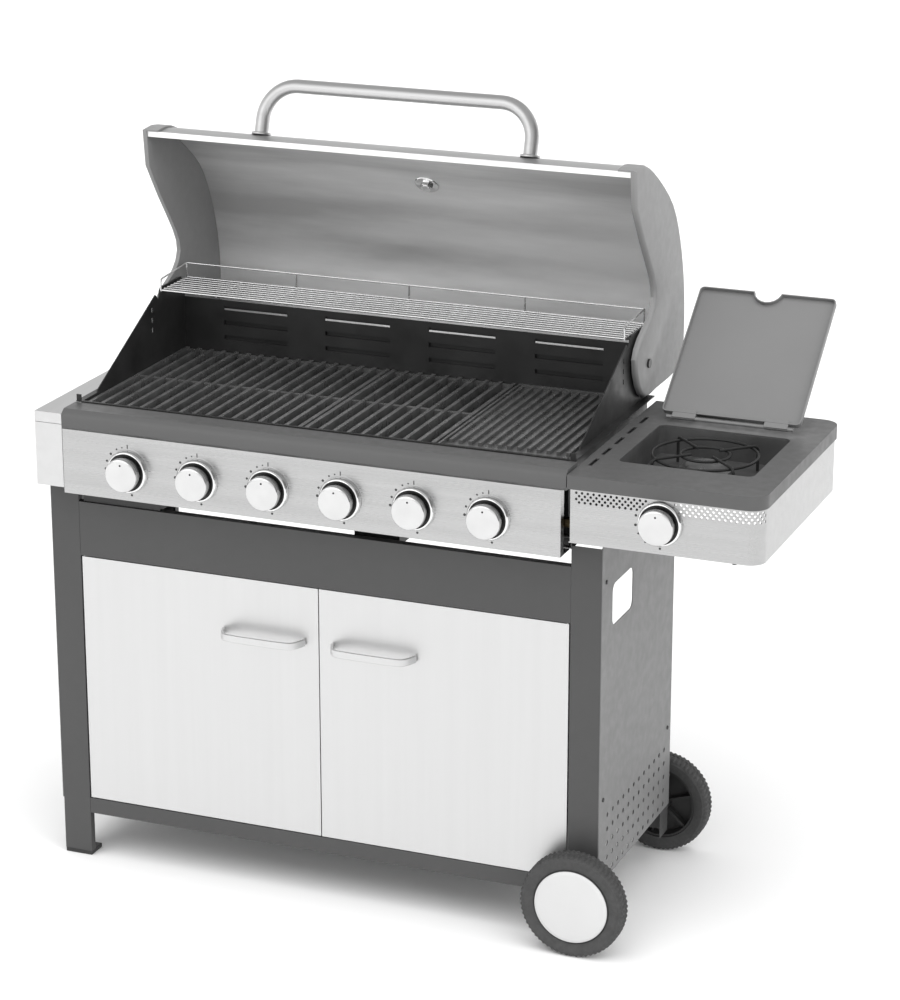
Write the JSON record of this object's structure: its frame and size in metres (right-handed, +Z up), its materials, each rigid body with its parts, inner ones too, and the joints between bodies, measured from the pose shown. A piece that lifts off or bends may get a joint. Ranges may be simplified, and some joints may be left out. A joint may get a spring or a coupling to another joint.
{
  "type": "gas barbecue grill",
  "caption": "Wheeled gas barbecue grill with an open hood, control knobs, steel cabinet doors and a side burner shelf.",
  "frame": {"origin": "on the floor, under the middle of the bounding box at rest with both lids open", "axes": "+X to the user's right as they face the controls, towards the side burner; +Y to the back; +Z up; the controls face -Y"},
  "size_m": [1.277, 0.6314, 1.3411],
  "materials": {
    "grey_paint": "satin grey powder coat",
    "cap_paint": "cast, with a satin silver grey coat",
    "pale_paint": "satin silver grey powder coat",
    "trim_paint": "satin grey powder coat",
    "brushed_steel": "brushed stainless steel",
    "chrome": "polished chrome",
    "cast_iron": "enamelled cast iron",
    "black_enamel": "black heat-proof enamel",
    "tyre_rubber": "ribbed black rubber",
    "hub_plastic": "pale grey plastic",
    "black_plastic": "black plastic",
    "brass": "plain brass"
  },
  "bodies": {
    "cart": {"leg_front_left": "grey_paint", "leg_rear_left": "grey_paint", "leg_front_right": "grey_paint", "leg_rear_right": "grey_paint", "foot_front_left": "black_plastic", "foot_rear_left": "black_plastic", "side_panel_left": "grey_paint", "side_panel_right": "grey_paint", "front_fascia": "grey_paint", "front_bottom_rail": "grey_paint", "rear_top_rail": "grey_paint", "bottom_shelf": "grey_paint", "wheel_axle": "chrome", "control_panel": "brushed_steel", "gas_manifold": "brass", "igniter_box": "black_plastic", "front_trim": "trim_paint", "filler_top": "brushed_steel", "filler_front": "brushed_steel", "firebox": "black_enamel", "burner_1": "brushed_steel", "burner_2": "brushed_steel", "burner_3": "brushed_steel", "burner_4": "brushed_steel", "burner_5": "brushed_steel", "burner_6": "brushed_steel", "flame_tamers": "brushed_steel", "grate_left": "cast_iron", "grate_middle": "cast_iron", "griddle_plate": "cast_iron", "warming_rack": "chrome", "side_shelf_top": "trim_paint", "side_shelf_skirt": "brushed_steel", "side_burner_bowl": "black_enamel", "side_burner": "cast_iron", "pot_support": "black_enamel"},
    "lid": {"lid_shell": "brushed_steel", "lid_cap_left": "cap_paint", "lid_cap_right": "cap_paint", "lid_handle": "brushed_steel", "thermometer": "chrome"},
    "side_lid": {"side_burner_lid": "pale_paint"},
    "left_door": {"door_left": "brushed_steel", "door_handle_left": "brushed_steel"},
    "right_door": {"door_right": "brushed_steel", "door_handle_right": "brushed_steel"},
    "front_wheel": {"tyre_front": "tyre_rubber", "wheel_hub_front": "hub_plastic"},
    "rear_wheel": {"tyre_rear": "tyre_rubber", "wheel_hub_rear": "hub_plastic"},
    "tray": {"drip_tray": "black_enamel"},
    "knob_1_body": {"knob_1": "chrome"},
    "knob_2_body": {"knob_2": "chrome"},
    "knob_3_body": {"knob_3": "chrome"},
    "knob_4_body": {"knob_4": "chrome"},
    "knob_5_body": {"knob_5": "chrome"},
    "knob_6_body": {"knob_6": "chrome"},
    "side_knob_body": {"side_knob": "chrome"}
  },
  "joints": [
    {"name": "lid_hinge", "type": "hinge", "parent": "cart", "child": "lid", "pos_m": [-0.1385, 0.11786, 0.905], "axis": [1, 0, 0], "range_deg": [0, 87.4]},
    {"name": "side_lid_hinge", "type": "hinge", "parent": "cart", "child": "side_lid", "pos_m": [0.4785, 0.04286, 0.84], "axis": [1, 0, 0], "range_deg": [0, 141]},
    {"name": "left_door_hinge", "type": "hinge", "parent": "cart", "child": "left_door", "pos_m": [-0.5785, -0.23764, 0.337], "axis": [0, 0, -1], "range_deg": [0, 100]},
    {"name": "right_door_hinge", "type": "hinge", "parent": "cart", "child": "right_door", "pos_m": [0.3015, -0.23764, 0.337], "axis": [0, 0, 1], "range_deg": [0, 25]},
    {"name": "front_wheel_spin", "type": "hinge", "parent": "cart", "child": "front_wheel", "pos_m": [0.3345, -0.28414, 0.09], "axis": [0, 1, 0], "continuous": true},
    {"name": "rear_wheel_spin", "type": "hinge", "parent": "cart", "child": "rear_wheel", "pos_m": [0.3345, 0.17186, 0.09], "axis": [0, 1, 0], "continuous": true},
    {"name": "drip_tray_slide", "type": "slide", "parent": "cart", "child": "tray", "axis": [0, 1, 0], "range_m": [0, 0.3]},
    {"name": "knob_1_turn", "type": "hinge", "parent": "cart", "child": "knob_1_body", "pos_m": [-0.46425, -0.28614, 0.741], "axis": [0, -1, 0], "range_deg": [0, 180]},
    {"name": "knob_2_turn", "type": "hinge", "parent": "cart", "child": "knob_2_body", "pos_m": [-0.33495, -0.28614, 0.741], "axis": [0, -1, 0], "range_deg": [0, 180]},
    {"name": "knob_3_turn", "type": "hinge", "parent": "cart", "child": "knob_3_body", "pos_m": [-0.20565, -0.28614, 0.741], "axis": [0, -1, 0], "range_deg": [0, 180]},
    {"name": "knob_4_turn", "type": "hinge", "parent": "cart", "child": "knob_4_body", "pos_m": [-0.07635, -0.28614, 0.741], "axis": [0, -1, 0], "range_deg": [0, 180]},
    {"name": "knob_5_turn", "type": "hinge", "parent": "cart", "child": "knob_5_body", "pos_m": [0.05295, -0.28614, 0.741], "axis": [0, -1, 0], "range_deg": [0, 180]},
    {"name": "knob_6_turn", "type": "hinge", "parent": "cart", "child": "knob_6_body", "pos_m": [0.18225, -0.28614, 0.741], "axis": [0, -1, 0], "range_deg": [0, 180]},
    {"name": "side_knob_turn", "type": "hinge", "parent": "cart", "child": "side_knob_body", "pos_m": [0.4705, -0.28614, 0.768], "axis": [0, -1, 0], "range_deg": [0, 180]}
  ]
}
